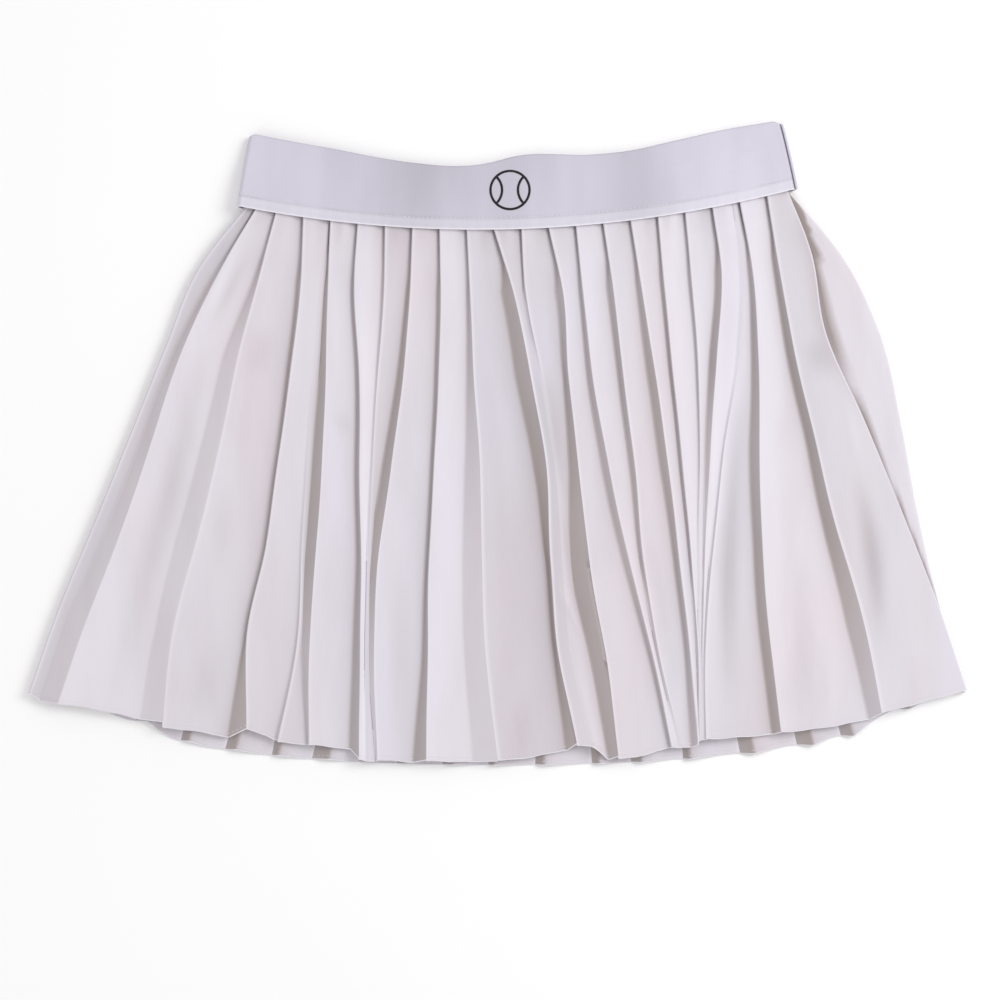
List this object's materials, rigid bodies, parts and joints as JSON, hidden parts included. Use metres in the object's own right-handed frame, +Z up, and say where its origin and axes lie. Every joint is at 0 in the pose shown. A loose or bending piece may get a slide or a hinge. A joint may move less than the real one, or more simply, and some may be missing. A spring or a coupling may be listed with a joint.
{
  "type": "pleated tennis skirt, laid flat",
  "caption": "Short knife-pleated sports skirt with a wide elastic waistband and a plain printed ball motif, lying flat face up.",
  "frame": {"origin": "middle of the bounding box at its base, on the surface the skirt lies on", "axes": "+X across the skirt, towards the viewer's right when looking at its front; +Y from hem to waistband; +Z up from the surface, out of the skirt's front"},
  "size_m": [0.5906, 0.4069, 0.0121],
  "materials": {
    "pleated_cloth": "matt woven polyester, off-white with a faint lilac cast",
    "elastic": "soft knitted elastic, pale lavender",
    "print": "black transfer print"
  },
  "bodies": {
    "root": {"front_panel": "pleated_cloth", "back_panel": "pleated_cloth", "waistband_front": "elastic", "waistband_back": "elastic", "band_motif": "print"}
  },
  "joints": []
}
